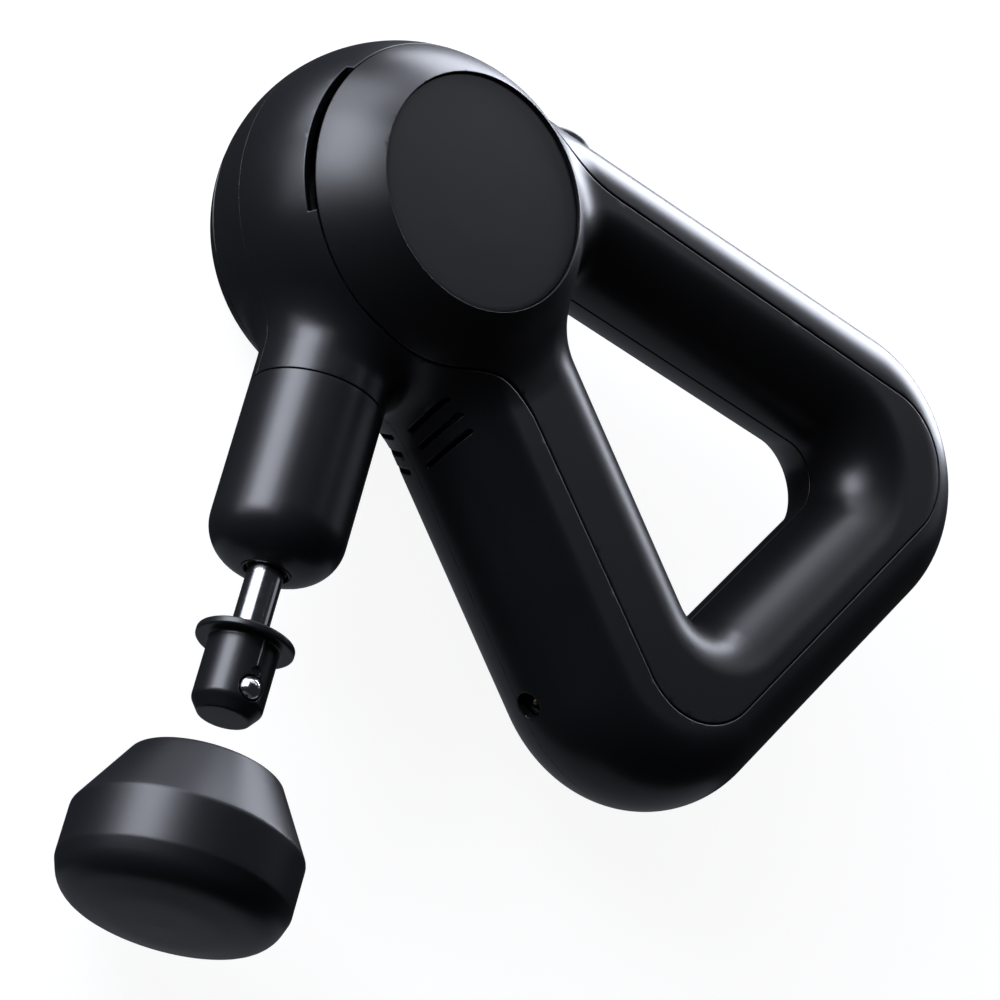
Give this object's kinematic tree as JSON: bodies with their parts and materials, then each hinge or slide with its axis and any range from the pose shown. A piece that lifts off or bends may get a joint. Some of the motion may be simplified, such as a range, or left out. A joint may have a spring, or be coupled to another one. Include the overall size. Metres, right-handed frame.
{
  "type": "massage gun",
  "caption": "Percussion massage gun: ball-shaped motor head, nose with a stroking push-in plug, triangular ring handle, soft side covers and a pull-off cushioned attachment.",
  "frame": {"origin": "centre of the left side disc's outer face, on the axis of the ball head", "axes": "+X along the upper arm of the handle, -Y along the output shaft towards the attachment, +Z through the head from the left side disc to the right one"},
  "size_m": [0.2266, 0.2388, 0.068],
  "materials": {
    "shell_plastic": "satin black moulded plastic, very fine texture",
    "grip_elastomer": "soft-touch black elastomer, satin",
    "disc_plastic": "matt charcoal moulded plastic",
    "cushion_elastomer": "closed-cell black cushion skin, satin",
    "chrome_steel": "hard-chromed, polished",
    "steel": "machined steel",
    "cast_aluminium": "cast and machined aluminium",
    "bronze": "sintered bronze and brass",
    "winding": "enamelled copper winding on steel laminations",
    "circuit_board": "glass-fibre board with solder mask",
    "cell_sleeve": "steel cell in a shrink sleeve",
    "inner_plastic": "plain moulded nylon",
    "wire_insulation": "silicone insulation"
  },
  "bodies": {
    "body": {"housing_right": "shell_plastic", "housing_left": "shell_plastic", "side_cover_right": "grip_elastomer", "side_cover_left": "grip_elastomer", "side_disc_right": "disc_plastic", "side_disc_left": "disc_plastic", "nose_cover": "shell_plastic", "motor_stator": "winding", "motor_bearing_inner": "steel", "motor_bearing_outer": "steel", "motor_frame": "cast_aluminium", "shaft_liner": "cast_aluminium", "front_bushing": "bronze", "shaft_seal": "cushion_elastomer", "battery_cell_1": "cell_sleeve", "battery_cell_2": "cell_sleeve", "battery_cell_3": "cell_sleeve", "battery_cell_4": "cell_sleeve", "cell_cradle": "inner_plastic", "control_board": "circuit_board", "tact_switch": "inner_plastic", "switch_board": "circuit_board", "charge_jack": "inner_plastic", "charge_pin": "bronze", "battery_cable": "wire_insulation", "motor_cable": "wire_insulation", "charge_cable": "wire_insulation", "switch_cable": "wire_insulation", "housing_screw_1": "steel", "housing_screw_2": "steel", "housing_screw_3": "steel", "housing_screw_4": "steel", "motor_screw_1": "steel", "motor_screw_2": "steel", "motor_screw_3": "steel"},
    "rotor": {"rotor_bell": "steel", "magnet_ring": "steel", "motor_shaft": "steel", "crank_disc": "steel", "crank_pin": "steel"},
    "rod": {"connecting_rod": "cast_aluminium", "rod_bearing": "steel"},
    "output": {"output_shaft": "chrome_steel", "plug": "shell_plastic", "crosshead": "cast_aluminium", "wrist_pin": "steel", "detent_spring_right": "steel", "detent_spring_left": "steel"},
    "ball_right": {"detent_ball_right": "chrome_steel"},
    "ball_left": {"detent_ball_left": "chrome_steel"},
    "attachment": {"attachment_core": "inner_plastic", "attachment_pad": "cushion_elastomer"},
    "button": {"power_button": "shell_plastic", "switch_plunger": "inner_plastic"}
  },
  "joints": [
    {"name": "motor_spin", "type": "hinge", "parent": "body", "child": "rotor", "pos_m": [-0.0078, 0.006, 0.0334], "axis": [0, 0, 1], "continuous": true},
    {"name": "rod_turn", "type": "hinge", "parent": "rotor", "child": "rod", "pos_m": [-0.0078, -0.002, 0.0334], "axis": [0, 0, 1], "continuous": true},
    {"name": "shaft_stroke", "type": "slide", "parent": "body", "child": "output", "axis": [0, 1, 0], "range_m": [0, 0.016]},
    {"name": "attachment_push_on", "type": "slide", "parent": "output", "child": "attachment", "axis": [0, 1, 0], "range_m": [0, 0.0319]},
    {"name": "ball_right_press", "type": "slide", "parent": "output", "child": "ball_right", "axis": [0, 0, -1], "range_m": [0, 0.0013], "deforming": ["detent_spring_right"]},
    {"name": "ball_left_press", "type": "slide", "parent": "output", "child": "ball_left", "axis": [0, 0, 1], "range_m": [0, 0.0013], "deforming": ["detent_spring_left"]},
    {"name": "button_press", "type": "slide", "parent": "body", "child": "button", "axis": [0, -1, 0], "range_m": [0, 0.0008]}
  ],
  "couplings": [
    {"joint": "rod_turn", "follows": "motor_spin", "ratio": -1},
    {"joint": "ball_left_press", "follows": "ball_right_press", "ratio": 1}
  ]
}
